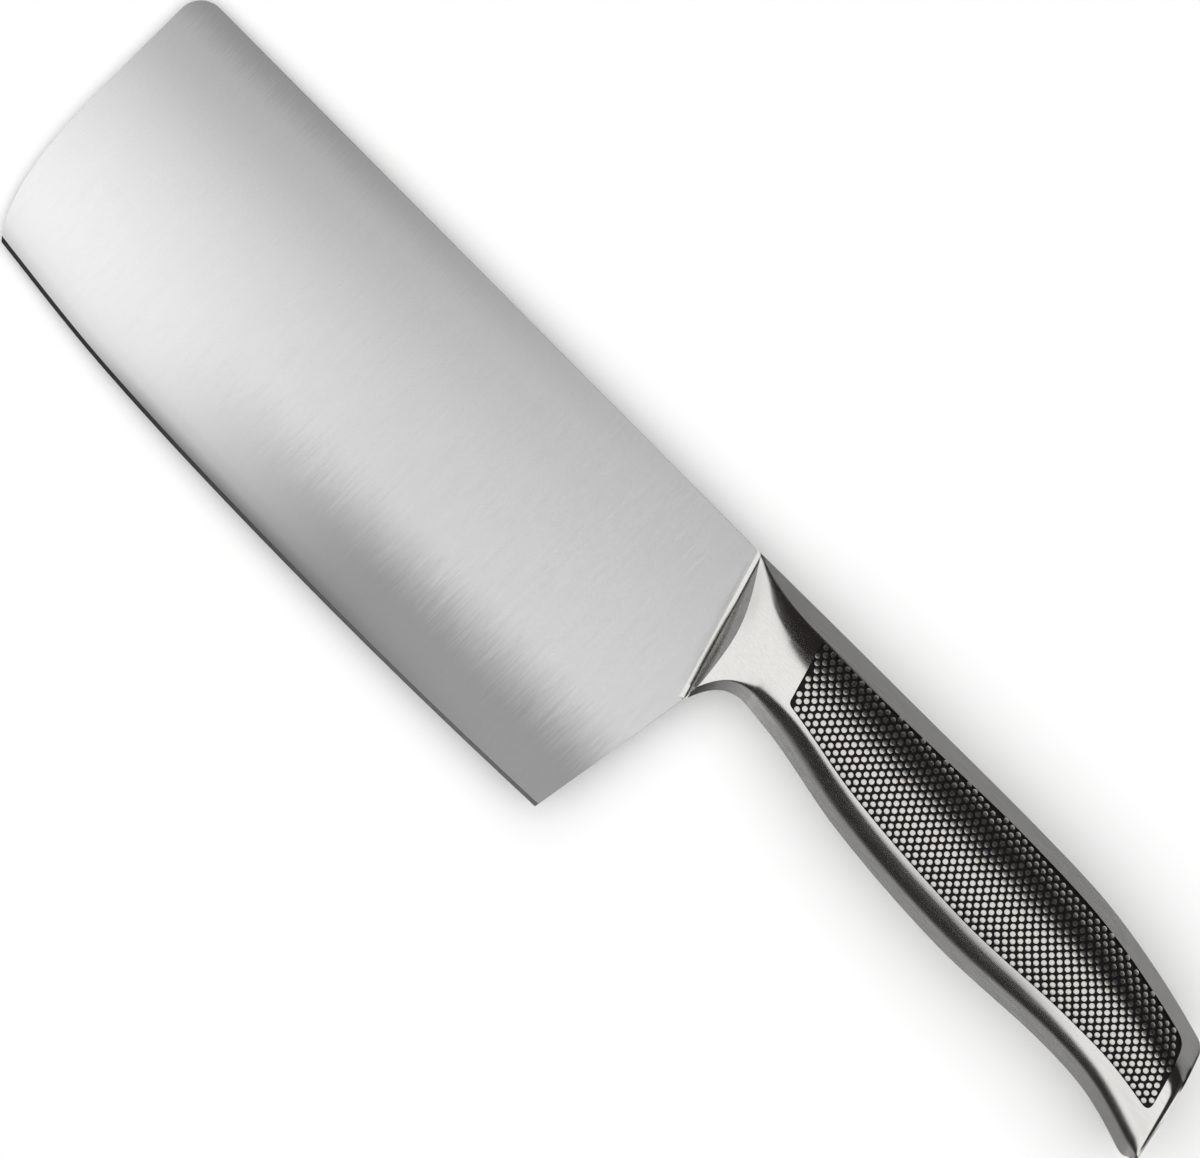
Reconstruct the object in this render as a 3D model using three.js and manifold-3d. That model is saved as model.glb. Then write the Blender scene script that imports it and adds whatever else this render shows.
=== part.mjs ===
// A kitchen cleaver: a broad ground blade, a flared bolster and a hollow steel handle.
// Millimetres, +Z up. The cleaver lies on its right side: +X runs from the blade to the butt,
// +Y from the cutting edge to the spine, and +Z points out of the left face.
// Drawn with x = 0 where the spine meets the bolster, y = 0 on the spine and z = 0 mid-thickness.

import * as THREE from "three";
import { mergeVertices } from "three/addons/utils/BufferGeometryUtils.js";
import Module from "manifold-3d";

const wasm = await Module();
wasm.setup();

// Blade
const BLADE_LENGTH = 166.7; // front edge to bolster, along the spine
const SPINE_THICKNESS = 2.2;
const TIP_RADIUS = 3.8; // corner between spine and front edge
const FRONT_STRAIGHT = 28; // length of straight front edge, from the spine down
const TOE_DEPTH = 66.9; // spine to cutting edge at the front corner
const BELLY_DEPTH = 72.2; // spine to cutting edge where the blade is deepest
const HEEL_DEPTH = 70.9; // spine to cutting edge at the heel
const TOE_SETBACK = 8; // front edge to the front corner of the cutting edge
const HEEL_X = 3.9; // heel corner, behind the start of the bolster
const HEEL_LEAN = 0.16; // x gained per millimetre up the heel
const BEVEL_WIDTH = 1.5; // sharpened bevel along the cutting edge
const BEVEL_THICKNESS = 0.7; // blade thickness where the bevel starts
const EDGE_THICKNESS = 0.04;
const GRIND_HEIGHT = 44; // the blade thins from here down to the bevel

// Tang, the tongue of the blade inside the handle
const TANG_REACH = 52;
const TANG_TOP = 7;
const TANG_HEIGHT = 11;

// Handle
const SLANT = 0.3; // bolster face, grip ends and butt all lean: x gained per millimetre down
const HANDLE_LENGTH = 135.5; // bolster face to butt face, along the slanted stations
const NECK_STATION = 12;
const NECK_DEPTH = 24.5;
const PALM_DEPTH = 31.7;
const WAIST_DEPTH = 30.5;
const BEAK_DEPTH = 36.8;
const CROWN_RISE = 0.5; // top of the handle above the spine
const BUTT_DROP = 7.4; // top of the butt below the spine
const HANDLE_THICKNESS = 20.8;
const BUTT_THICKNESS = 18.6;
const FRONT_THICKNESS = 8.2; // across the bolster, just behind its front face
const BUTT_RADIUS = 2.6;
const WALL = 1.4;

// Bolster
const BOLSTER_LENGTH = 14;
const SPIGOT_LENGTH = 8; // part of the bolster that slips inside the shells
const FACE_LIP = 0.2; // the bolster's front face starts this far above the blade
const FACE_RISE = 1.06; // rise of the front face per millimetre of station

// Grip panel
const GRIP_START = 20.3;
const GRIP_END_MARGIN = 3.4; // grip to butt face
const GRIP_TOP_MARGIN = 3.6;
const GRIP_BOTTOM_MARGIN = 7.6;
const GRIP_CORNER = 2;
const POCKET_DEPTH = 0.6;
const INLAY_SINK = 0.1; // enamel below the steel around it

// Inside the handle
const WEIGHT_LENGTH = 24;

// Clearances
const JOINT_GAP = 0.1; // blade to bolster, bolster to shells, shell to shell
const TANG_FIT = 0.15;
const SPIGOT_FIT = 0.2;
const BED_FIT = 0.2; // filler and weight to the shells
const INLAY_FIT = 0.15;

const REACH = 400; // longer than the cleaver, for cutting tools

// A smooth line through points of [position, value].
function smoothLine(points) {
  const line = new THREE.CubicInterpolant(points.map((p) => p[0]), points.map((p) => p[1]), 1);
  return (position) => line.evaluate(position)[0];
}

// Blade outline
const toeX = -BLADE_LENGTH + TOE_SETBACK;
const edgeAt = (share) => toeX + share * (HEEL_X - toeX);
const edgeLine = smoothLine([
  [edgeAt(-0.1), -TOE_DEPTH + 2],
  [toeX, -TOE_DEPTH],
  [edgeAt(0.2), -BELLY_DEPTH + 1.9],
  [edgeAt(0.59), -BELLY_DEPTH],
  [HEEL_X, -HEEL_DEPTH],
  [edgeAt(1.4), -HEEL_DEPTH + 4],
]);
const heelX = (y) => HEEL_X + (y + HEEL_DEPTH) * HEEL_LEAN;
const faceX = (y) => -JOINT_GAP - SLANT * y;
const bolsterDepth = (HEEL_X + HEEL_DEPTH * HEEL_LEAN) / (SLANT + HEEL_LEAN);

// Handle lines. A station is a distance from the bolster face, measured along the spine.
const behindNeck = (share) => NECK_STATION + share * (HANDLE_LENGTH - NECK_STATION);
const palmLine = smoothLine([
  [NECK_STATION, -NECK_DEPTH],
  [behindNeck(0.08), -NECK_DEPTH - 1.1],
  [behindNeck(0.24), -PALM_DEPTH + 2.3],
  [behindNeck(0.5), -PALM_DEPTH],
  [behindNeck(0.77), -WAIST_DEPTH],
  [behindNeck(0.86), -WAIST_DEPTH - 0.9],
  [HANDLE_LENGTH, -BEAK_DEPTH],
]);
const topLine = smoothLine([
  [0, 0],
  [HANDLE_LENGTH * 0.3, CROWN_RISE * 0.6],
  [HANDLE_LENGTH * 0.63, CROWN_RISE],
  [HANDLE_LENGTH * 0.74, -0.1],
  [HANDLE_LENGTH * 0.86, -2.3],
  [HANDLE_LENGTH, -BUTT_DROP],
]);
const crownLine = smoothLine([
  [0, FRONT_THICKNESS / 2 - 0.3],
  [BOLSTER_LENGTH * 0.4, FRONT_THICKNESS / 2 + 0.7],
  [BOLSTER_LENGTH * 1.4, HANDLE_THICKNESS / 2 - 1.4],
  [HANDLE_LENGTH * 0.26, HANDLE_THICKNESS / 2 - 0.2],
  [HANDLE_LENGTH * 0.5, HANDLE_THICKNESS / 2],
  [HANDLE_LENGTH * 0.75, HANDLE_THICKNESS / 2 - 0.2],
  [HANDLE_LENGTH, BUTT_THICKNESS / 2],
]);
// Half of the flat strip along the top and the bottom of the handle.
const stripLine = smoothLine([
  [0, SPINE_THICKNESS / 2],
  [BOLSTER_LENGTH, 2.1],
  [HANDLE_LENGTH * 0.28, 3],
  [HANDLE_LENGTH, 3],
]);
// Width of the facets beside those strips, seen from the side.
const topFacet = smoothLine([
  [0, 0.4],
  [BOLSTER_LENGTH * 0.85, 3.1],
  [HANDLE_LENGTH * 0.25, 3.5],
  [HANDLE_LENGTH, 3.5],
]);
const bottomFacet = smoothLine([
  [0, 2.8],
  [BOLSTER_LENGTH * 0.8, 2.6],
  [HANDLE_LENGTH * 0.3, 3.6],
  [HANDLE_LENGTH, 3.6],
]);

// The finger notch sweeps from the heel of the bolster up to the neck.
function bottomLine(station) {
  if (station >= NECK_STATION) return palmLine(station);
  const sweep = Math.pow(1 - station / NECK_STATION, 2.3);
  return -NECK_DEPTH - (bolsterDepth - NECK_DEPTH) * sweep;
}

// Replaces the corner b of a to c by three points of a round.
function softCorner(a, b, c) {
  const round = new THREE.QuadraticBezierCurve(
    b.clone().lerp(a, 0.3),
    b,
    b.clone().lerp(c, 0.3),
  );
  return round.getPoints(2);
}

// The left half of a handle section at a station, from top to bottom, as (y, z).
function halfSection(station, inset) {
  const past = Math.max(0, station - HANDLE_LENGTH + inset + buttRadius(inset));
  const rounding = buttRadius(inset) - Math.sqrt(Math.max(0, buttRadius(inset) ** 2 - past ** 2));
  const shrink = inset + rounding;
  const top = topLine(station) - shrink;
  const bottom = bottomLine(station) + shrink;
  const strip = stripLine(station) - 0.41 * shrink;
  const crown = crownLine(station) - shrink;
  const upper = new THREE.Vector2(top - topFacet(station), strip + topFacet(station));
  const lower = new THREE.Vector2(bottom + bottomFacet(station), strip + bottomFacet(station));
  const bulge = crown - (upper.y + lower.y) / 2;
  const side = [];
  for (const share of [0.08, 0.22, 0.36, 0.5, 0.64, 0.78, 0.92]) {
    const point = upper.clone().lerp(lower, share);
    point.y += bulge * (1 - (2 * share - 1) ** 2);
    side.push(point);
  }
  const topEdge = new THREE.Vector2(top, strip);
  const bottomEdge = new THREE.Vector2(bottom, strip);
  return [
    topEdge,
    ...softCorner(topEdge, upper, side[0]),
    ...side,
    ...softCorner(side.at(-1), lower, bottomEdge),
    bottomEdge,
  ];
}

// Radius of the butt's edges on a surface that lies this far inside the outer one.
function buttRadius(inset) {
  return Math.max(0.6, BUTT_RADIUS - inset);
}

// A closed skin over rings of points, with flat ends.
function loft(rings) {
  const count = rings[0].length;
  const last = (rings.length - 1) * count;
  const points = rings.flat();
  const index = [];
  for (let ring = 0; ring < last; ring += count) {
    for (let i = 0; i < count; i += 1) {
      const a = ring + i;
      const b = ring + ((i + 1) % count);
      index.push(a, b, a + count, b, b + count, a + count);
    }
  }
  for (const ring of [rings[0], rings.at(-1)]) {
    points.push(ring.reduce((sum, p) => sum.add(p), new THREE.Vector3()).divideScalar(count));
  }
  for (let i = 0; i < count; i += 1) {
    const next = (i + 1) % count;
    index.push(points.length - 2, next, i);
    index.push(points.length - 1, last + i, last + next);
  }
  const geometry = new THREE.BufferGeometry().setFromPoints(points);
  geometry.setIndex(index);
  return geometry;
}

// The handle's outside between two stations, or a surface that lies inset inside it.
function handleLoft(from, to, inset) {
  const stations = [from];
  for (const s of [1.5, 3, 4.5, 6.5, 9, 12, 16, 20, 25, 31]) stations.push(s);
  const steps = 14;
  for (let i = 1; i <= steps; i += 1) stations.push(31 + (i / steps) * (HANDLE_LENGTH - 35 - inset));
  const round = HANDLE_LENGTH - inset - buttRadius(inset);
  for (const angle of [0, 0.25, 0.5, 0.75, 1]) {
    stations.push(round + buttRadius(inset) * Math.sin((angle * Math.PI) / 2));
  }
  const kept = stations.filter((s) => s === from || (s > from + 0.4 && s < to - 0.2));
  return loft(
    [...kept, to].map((station) => {
      const half = halfSection(station, inset);
      const ring = [...half, ...half.map((p) => new THREE.Vector2(p.x, -p.y)).reverse()];
      return ring.map((p) => new THREE.Vector3(station - SLANT * p.x, p.x, p.y));
    }),
  );
}

// Solids
function solidOf(geometry) {
  const bare = geometry.clone();
  bare.deleteAttribute("normal");
  bare.deleteAttribute("uv");
  const merged = mergeVertices(bare);
  return new wasm.Manifold(
    new wasm.Mesh({
      numProp: 3,
      vertProperties: merged.attributes.position.array,
      triVerts: new Uint32Array(merged.index.array),
    }),
  );
}

function box(x0, x1, y0, y1, z0, z1) {
  const geometry = new THREE.BoxGeometry(x1 - x0, y1 - y0, z1 - z0);
  return solidOf(geometry.translate((x0 + x1) / 2, (y0 + y1) / 2, (z0 + z1) / 2));
}

function prism(shape, halfDepth) {
  const options = { depth: 2 * halfDepth, bevelEnabled: false, curveSegments: 10 };
  return solidOf(new THREE.ExtrudeGeometry(shape, options).translate(0, 0, -halfDepth));
}

// Everything on one side of the mid-plane, short of the seam.
function sideSpace(side) {
  const near = JOINT_GAP / 2;
  const z = [side * near, side * REACH].sort((a, b) => a - b);
  return box(-REACH, REACH, -REACH, REACH, z[0], z[1]);
}

// Blade and tang: the outline cut from a slab that is ground thin toward the cutting edge.
function bladeOutline() {
  const below = -BELLY_DEPTH - 8;
  const tangBottom = -TANG_TOP - TANG_HEIGHT;
  const outline = new THREE.Shape();
  outline.moveTo(faceX(0), 0);
  outline.lineTo(-BLADE_LENGTH + TIP_RADIUS, 0);
  outline.absarc(-BLADE_LENGTH + TIP_RADIUS, -TIP_RADIUS, TIP_RADIUS, Math.PI / 2, Math.PI, false);
  outline.lineTo(-BLADE_LENGTH, -FRONT_STRAIGHT);
  outline.bezierCurveTo(
    -BLADE_LENGTH,
    -FRONT_STRAIGHT - 20,
    toeX - 5.6,
    -TOE_DEPTH + 6.6,
    toeX,
    -TOE_DEPTH,
  );
  outline.lineTo(toeX + 6, below);
  outline.lineTo(heelX(below), below);
  outline.lineTo(heelX(-bolsterDepth), -bolsterDepth);
  outline.lineTo(faceX(-bolsterDepth), -bolsterDepth + 0.01);
  outline.lineTo(faceX(tangBottom), tangBottom);
  outline.lineTo(TANG_REACH, tangBottom);
  outline.lineTo(TANG_REACH, -TANG_TOP);
  outline.lineTo(faceX(-TANG_TOP), -TANG_TOP);
  outline.closePath();
  return outline;
}

function groundSlab() {
  const rings = [];
  const steps = 26;
  const start = edgeAt(-0.06);
  const end = TANG_REACH + 5;
  for (let i = 0; i <= steps; i += 1) {
    const x = start + (i / steps) * (end - start);
    const edge = edgeLine(Math.min(x, edgeAt(1.1)));
    const half = [[edge, EDGE_THICKNESS / 2]];
    for (const share of [0, 0.25, 0.5, 0.75, 1]) {
      const height = BEVEL_WIDTH + share * (GRIND_HEIGHT - BEVEL_WIDTH);
      const thinned = (SPINE_THICKNESS - BEVEL_THICKNESS) * (1 - share) ** 2;
      half.push([edge + height, (SPINE_THICKNESS - thinned) / 2]);
    }
    half.push([10, SPINE_THICKNESS / 2]);
    const ring = [...half, ...half.map(([y, z]) => [y, -z]).reverse()];
    rings.push(ring.map(([y, z]) => new THREE.Vector3(x, y, z)).reverse());
  }
  return solidOf(loft(rings));
}

const bladeSolid = prism(bladeOutline(), 3).intersect(groundSlab());

// The space of the tang, cut from whatever it passes through.
const tangSlot = box(
  -20,
  TANG_REACH + TANG_FIT,
  -TANG_TOP - TANG_HEIGHT - TANG_FIT,
  -TANG_TOP + TANG_FIT,
  -SPINE_THICKNESS / 2 - TANG_FIT,
  SPINE_THICKNESS / 2 + TANG_FIT,
);

// Bolster: its sloping front faces are cut on both sides, and the spigot carries the shells.
function faceCutter(side) {
  const foot = SPINE_THICKNESS / 2 + FACE_LIP;
  const wedge = new THREE.Shape();
  wedge.moveTo(-4, side * (foot - 4 * FACE_RISE));
  wedge.lineTo(12, side * (foot + 12 * FACE_RISE));
  wedge.lineTo(-4, side * (foot + 12 * FACE_RISE));
  const geometry = new THREE.ExtrudeGeometry(wedge, { depth: 2 * REACH, bevelEnabled: false });
  const lean = new THREE.Matrix4().set(1, 0, SLANT, 0, 0, 0, -1, 0, 0, 1, 0, 0, 0, 0, 0, 1);
  return solidOf(geometry.translate(0, 0, -REACH).applyMatrix4(lean));
}

const spigotEnd = BOLSTER_LENGTH + SPIGOT_LENGTH;
const bolsterSolid = solidOf(handleLoft(0, BOLSTER_LENGTH, 0))
  .subtract(faceCutter(1))
  .subtract(faceCutter(-1))
  .add(solidOf(handleLoft(BOLSTER_LENGTH - 3, spigotEnd, WALL + SPIGOT_FIT)))
  .subtract(tangSlot);

// Grip panel outline, grown inwards by a clearance.
function gripOutline(fit) {
  const start = GRIP_START + fit;
  const end = HANDLE_LENGTH - GRIP_END_MARGIN - fit;
  const top = (s) => new THREE.Vector2(0, topLine(s) - GRIP_TOP_MARGIN - fit);
  const bottom = (s) => new THREE.Vector2(0, bottomLine(s) + GRIP_BOTTOM_MARGIN + fit);
  const place = (s, y) => new THREE.Vector2(s - SLANT * y, y);
  const steps = 16;
  const shape = new THREE.Shape();
  const run = (line, from, to) => {
    for (let i = 0; i <= steps; i += 1) {
      const s = from + (i / steps) * (to - from);
      const p = place(s, line(s).y);
      if (shape.curves.length === 0 && i === 0) shape.moveTo(p.x, p.y);
      else shape.lineTo(p.x, p.y);
    }
  };
  const turn = (corner, to) => shape.quadraticCurveTo(corner.x, corner.y, to.x, to.y);
  run(top, start + GRIP_CORNER, end - GRIP_CORNER);
  turn(place(end, top(end).y), place(end, top(end).y - GRIP_CORNER));
  const low = place(end, bottom(end).y + GRIP_CORNER);
  shape.lineTo(low.x, low.y);
  const foot = end - GRIP_CORNER;
  turn(place(end, bottom(end).y), place(foot, bottom(foot).y));
  run(bottom, foot, start + GRIP_CORNER);
  turn(place(start, bottom(start).y), place(start, bottom(start).y + GRIP_CORNER));
  const high = place(start, top(start).y - GRIP_CORNER);
  shape.lineTo(high.x, high.y);
  const first = start + GRIP_CORNER;
  turn(place(start, top(start).y), place(first, top(first).y));
  return shape;
}

// Shells: the hollow outside, with a pocket on each face for the grip inlay.
const pocketFloor = solidOf(handleLoft(BOLSTER_LENGTH, HANDLE_LENGTH - POCKET_DEPTH, POCKET_DEPTH));
const hollow = solidOf(handleLoft(BOLSTER_LENGTH - 1, HANDLE_LENGTH - WALL, WALL));
const shellSolid = solidOf(handleLoft(BOLSTER_LENGTH + JOINT_GAP, HANDLE_LENGTH, 0))
  .subtract(hollow)
  .subtract(prism(gripOutline(0), 30).subtract(pocketFloor));

// Grip inlays: black enamel bedded in the pockets.
const inlayFloor = POCKET_DEPTH - INLAY_FIT;
const inlaySolid = prism(gripOutline(INLAY_FIT), 30)
  .intersect(solidOf(handleLoft(BOLSTER_LENGTH, HANDLE_LENGTH - INLAY_SINK, INLAY_SINK)))
  .subtract(solidOf(handleLoft(BOLSTER_LENGTH, HANDLE_LENGTH - inlayFloor, inlayFloor)));

// Filler and balance weight inside the shells.
const bed = WALL + BED_FIT;
const weightStart = HANDLE_LENGTH - bed - WEIGHT_LENGTH;
const weightSolid = solidOf(handleLoft(weightStart, HANDLE_LENGTH - bed, bed));
const fillerSolid = solidOf(handleLoft(spigotEnd + BED_FIT, weightStart - BED_FIT, bed)).subtract(tangSlot);

// Named pieces
const satinSteel = { color: 0xc9ccce, roughness: 0.34, metalness: 1 };
const polishedSteel = { color: 0xbfc2c4, roughness: 0.22, metalness: 1 };
const blackEnamel = { color: 0x0c0c0d, roughness: 0.5, metalness: 0 };
const castIron = { color: 0x55565a, roughness: 0.7, metalness: 1 };
const resin = { color: 0x8a7f6a, roughness: 0.8, metalness: 0 };

function piece(name, solid, finish) {
  const made = solid.getMesh();
  const geometry = new THREE.BufferGeometry();
  geometry.setAttribute("position", new THREE.BufferAttribute(made.vertProperties, 3));
  geometry.setIndex(new THREE.BufferAttribute(made.triVerts, 1));
  geometry.computeVertexNormals();
  const mesh = new THREE.Mesh(geometry, new THREE.MeshStandardMaterial(finish));
  mesh.name = name;
  return mesh;
}

const left = sideSpace(1);
const right = sideSpace(-1);
const cleaver = new THREE.Group();
cleaver.add(
  piece("blade", bladeSolid, satinSteel),
  piece("bolster", bolsterSolid, polishedSteel),
  piece("handle_shell_left", shellSolid.intersect(left), polishedSteel),
  piece("handle_shell_right", shellSolid.intersect(right), polishedSteel),
  piece("grip_inlay_left", inlaySolid.intersect(left), blackEnamel),
  piece("grip_inlay_right", inlaySolid.intersect(right), blackEnamel),
  piece("core_filler", fillerSolid, resin),
  piece("balance_weight", weightSolid, castIron),
);

// The origin is under the middle of the cleaver, on the surface it lies on.
const bounds = new THREE.Box3().setFromObject(cleaver);
const middle = bounds.getCenter(new THREE.Vector3());
cleaver.position.set(-middle.x, -middle.y, -bounds.min.z);

const group = new THREE.Group();
group.add(cleaver);
export default group;
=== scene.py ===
# %% [markdown]
# A kitchen cleaver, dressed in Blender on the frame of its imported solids. The solids give its
# place and size. Blender makes the visible pieces again from the same few dimensions, at a finer
# level, adds the steel pips of the grip, and gives each piece its finish.

import math

import bpy
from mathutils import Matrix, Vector


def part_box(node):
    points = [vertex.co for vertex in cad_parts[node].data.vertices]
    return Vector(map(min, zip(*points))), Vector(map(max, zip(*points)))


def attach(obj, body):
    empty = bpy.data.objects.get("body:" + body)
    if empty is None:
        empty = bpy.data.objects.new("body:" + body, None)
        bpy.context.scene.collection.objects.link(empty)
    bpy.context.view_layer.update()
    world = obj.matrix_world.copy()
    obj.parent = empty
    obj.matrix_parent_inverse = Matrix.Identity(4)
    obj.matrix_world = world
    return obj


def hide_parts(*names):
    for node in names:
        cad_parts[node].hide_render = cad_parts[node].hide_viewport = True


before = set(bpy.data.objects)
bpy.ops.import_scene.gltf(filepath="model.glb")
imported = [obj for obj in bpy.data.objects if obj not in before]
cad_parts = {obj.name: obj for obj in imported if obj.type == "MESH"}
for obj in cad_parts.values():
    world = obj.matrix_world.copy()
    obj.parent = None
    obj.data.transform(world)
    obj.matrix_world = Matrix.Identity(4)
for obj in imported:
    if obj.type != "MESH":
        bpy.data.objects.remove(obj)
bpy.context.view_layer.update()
scene = bpy.context.scene
scene.view_settings.view_transform = "Standard"

# %% [markdown]
# A cleaver is best drawn as a side view, so the sizes are in millimetres, as on a workshop
# drawing: x from the place where the spine meets the bolster, y from the spine, z from the middle
# of the thickness. Blender counts in metres, so one helper turns a drawing point into a place in
# the frame, which it finds from the box of the blade.

# %% Drawing origin
BLADE_LENGTH = 166.7

blade_low, blade_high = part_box("blade")
DRAWING_ORIGIN = Vector(
    (
        blade_low.x + BLADE_LENGTH / 1000,
        blade_high.y,
        (blade_low.z + blade_high.z) / 2,
    )
)


def place(x, y, z):
    """A drawing point in millimetres as a point of the frame in metres."""
    return DRAWING_ORIGIN + Vector((x, y, z)) / 1000


print("drawing origin", [round(v * 1000, 2) for v in DRAWING_ORIGIN])

# %% [markdown]
# The cutting edge has a slight belly, so that the cleaver can rock. A curve object could hold such
# a line, but a function gives its height at any place at once. It goes smoothly through a few
# points: a cubic that passes every point with the mean of the slopes on either side.


# %% Cutting edge
def cubic(start, end, leave, arrive, t):
    """A cubic from start to end, as t goes from 0 to 1, with the slopes it leaves and arrives at."""
    blend = 3 * t**2 - 2 * t**3
    rise = leave * (t**3 - 2 * t**2 + t)
    settle = arrive * (t**3 - t**2)
    return start * (1 - blend) + end * blend + rise + settle


def smooth_line(points):
    """A function through points of (position, value), flat beyond its ends."""
    steps = list(zip(points, points[1:]))
    slopes = [(b[1] - a[1]) / (b[0] - a[0]) for a, b in steps]
    inner = [(a + b) / 2 for a, b in zip(slopes, slopes[1:])]
    tangents = [slopes[0], *inner, slopes[-1]]

    def value(at):
        if at <= points[0][0]:
            return points[0][1]
        for i, (a, b) in enumerate(steps):
            if at <= b[0]:
                gap = b[0] - a[0]
                t = (at - a[0]) / gap
                return cubic(a[1], b[1], tangents[i] * gap, tangents[i + 1] * gap, t)
        return points[-1][1]

    return value


TOE_DEPTH = 66.9
BELLY_DEPTH = 72.2
HEEL_DEPTH = 70.9
TOE_SETBACK = 8
HEEL_X = 3.9
toe_x = -BLADE_LENGTH + TOE_SETBACK


def edge_at(share):
    """The x of a place that is a share of the way from the toe to the heel."""
    return toe_x + share * (HEEL_X - toe_x)


edge_line = smooth_line(
    [
        (edge_at(-0.1), -TOE_DEPTH + 2),
        (toe_x, -TOE_DEPTH),
        (edge_at(0.2), -BELLY_DEPTH + 1.9),
        (edge_at(0.59), -BELLY_DEPTH),
        (HEEL_X, -HEEL_DEPTH),
        (edge_at(1.4), -HEEL_DEPTH + 4),
    ]
)
print("cutting edge", round(HEEL_X - toe_x, 1), "mm from toe to heel")

# %% [markdown]
# Seen from the side, the handle has a finger notch behind the bolster, swells in the palm, narrows
# to a waist and hooks into a beak. The spine runs straight on into its top, which falls away near
# the butt. A station is a distance along the spine, and the section at a station leans back with
# the slanted front of the bolster.

# %% Handle outline
SLANT = 0.3
HEEL_LEAN = 0.16
HANDLE_LENGTH = 135.5
NECK_STATION = 12
NECK_DEPTH = 24.5
NOTCH_POWER = 2.3
PALM_DEPTH = 31.7
WAIST_DEPTH = 30.5
BEAK_DEPTH = 36.8
CROWN_RISE = 0.5
BUTT_DROP = 7.2
bolster_depth = (HEEL_X + HEEL_DEPTH * HEEL_LEAN) / (SLANT + HEEL_LEAN)


def behind_neck(share):
    """The station that is a share of the way from the neck to the butt."""
    return NECK_STATION + share * (HANDLE_LENGTH - NECK_STATION)


palm_line = smooth_line(
    [
        (NECK_STATION, -NECK_DEPTH),
        (behind_neck(0.08), -NECK_DEPTH - 1.1),
        (behind_neck(0.24), -PALM_DEPTH + 2.3),
        (behind_neck(0.5), -PALM_DEPTH),
        (behind_neck(0.77), -WAIST_DEPTH),
        (behind_neck(0.86), -WAIST_DEPTH - 0.9),
        (HANDLE_LENGTH, -BEAK_DEPTH),
    ]
)
top_line = smooth_line(
    [
        (0, 0),
        (HANDLE_LENGTH * 0.3, CROWN_RISE * 0.6),
        (HANDLE_LENGTH * 0.63, CROWN_RISE),
        (HANDLE_LENGTH * 0.74, 0),
        (HANDLE_LENGTH * 0.8, -BUTT_DROP * 0.13),
        (HANDLE_LENGTH * 0.86, -BUTT_DROP * 0.33),
        (HANDLE_LENGTH * 0.92, -BUTT_DROP * 0.58),
        (HANDLE_LENGTH, -BUTT_DROP),
    ]
)


def bottom_line(station):
    """Underside of the handle: the finger notch, then the palm, the waist and the beak."""
    if station >= NECK_STATION:
        return palm_line(station)
    sweep = (1 - max(0, station) / NECK_STATION) ** NOTCH_POWER
    return -NECK_DEPTH - (bolster_depth - NECK_DEPTH) * sweep


print("bolster depth", round(bolster_depth, 2), "mm")

# %% [markdown]
# Most pieces here are lofts: rings of points, skinned one to the next, with a flat face on each
# end. The rough solids are then joined and cut with the Boolean modifier, whose Manifold solver
# is quick and keeps a closed mesh closed.


# %% Lofts and cuts
def new_object(name, data):
    """An object in the scene over a mesh, curve, camera or light."""
    made = bpy.data.objects.new(name, data)
    scene.collection.objects.link(made)
    return made


def mesh_object(name, points, faces):
    mesh = bpy.data.meshes.new(name)
    mesh.from_pydata(points, [], faces)
    mesh.update()
    return new_object(name, mesh)


def skin(rings, sides):
    """Quads from each ring of points to the next, as numbers of points."""
    faces = []
    for ring in range(rings - 1):
        for i in range(sides):
            a = ring * sides + i
            b = ring * sides + (i + 1) % sides
            faces.append((a, b, b + sides, a + sides))
    return faces


def loft(name, rings):
    """A closed mesh object over rings of drawing points."""
    sides = len(rings[0])
    points = [place(*p) for ring in rings for p in ring]
    last = len(points) - sides
    ends = [tuple(reversed(range(sides))), tuple(range(last, last + sides))]
    return mesh_object(name, points, skin(len(rings), sides) + ends)


def prism(name, outline, levels):
    """A loft over one outline of (x, y) at two or more heights."""
    return loft(name, [[(x, y, z) for x, y in outline] for z in levels])


def apply_modifiers(piece):
    """The evaluated shape of a piece becomes its plain mesh."""
    graph = bpy.context.evaluated_depsgraph_get()
    shaped = bpy.data.meshes.new_from_object(piece.evaluated_get(graph))
    piece.modifiers.clear()
    piece.data = shaped


def cut(piece, tool, operation="DIFFERENCE"):
    """Joins, cuts or crops a piece with a tool, which is then removed."""
    boolean = piece.modifiers.new("cut", "BOOLEAN")
    boolean.operation = operation
    boolean.solver = "MANIFOLD"
    boolean.object = tool
    apply_modifiers(piece)
    bpy.data.objects.remove(tool)


def smooth_below(piece, degrees):
    """Shades a piece smooth, with a crease wherever two faces meet at a sharper angle."""
    piece.data.shade_smooth()
    piece.data.set_sharp_from_angle(angle=math.radians(degrees))
    print(piece.name, len(piece.data.polygons), "faces")


print("faces of a four-sided skin over two rings", len(skin(2, 4)))

# %% [markdown]
# The blade is one plate, stamped from sheet with the tang in one piece with it. Its outline becomes
# a prism with a small chamfer along spine, front and heel, which catches a thin line of light.
# A Bevel modifier could round it too, but insetting the outline keeps the chamfer even. Below the
# cutting edge the outline has metal to spare, which the grind takes away.

# %% Blade plate
SPINE_THICKNESS = 2.2
SPINE_CHAMFER = 0.22
TIP_RADIUS = 5.6
TIP_STEPS = 12
FRONT_STRAIGHT = 28
FRONT_LEAD = 20
FRONT_STEPS = 28
TOE_LEAD_X = 5.6
TOE_LEAD_Y = 6.6
SPARE_BELOW = 8
SPARE_SETBACK = 6
TANG_REACH = 52
TANG_TOP = 7
TANG_HEIGHT = 11
tang_bottom = -TANG_TOP - TANG_HEIGHT


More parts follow.
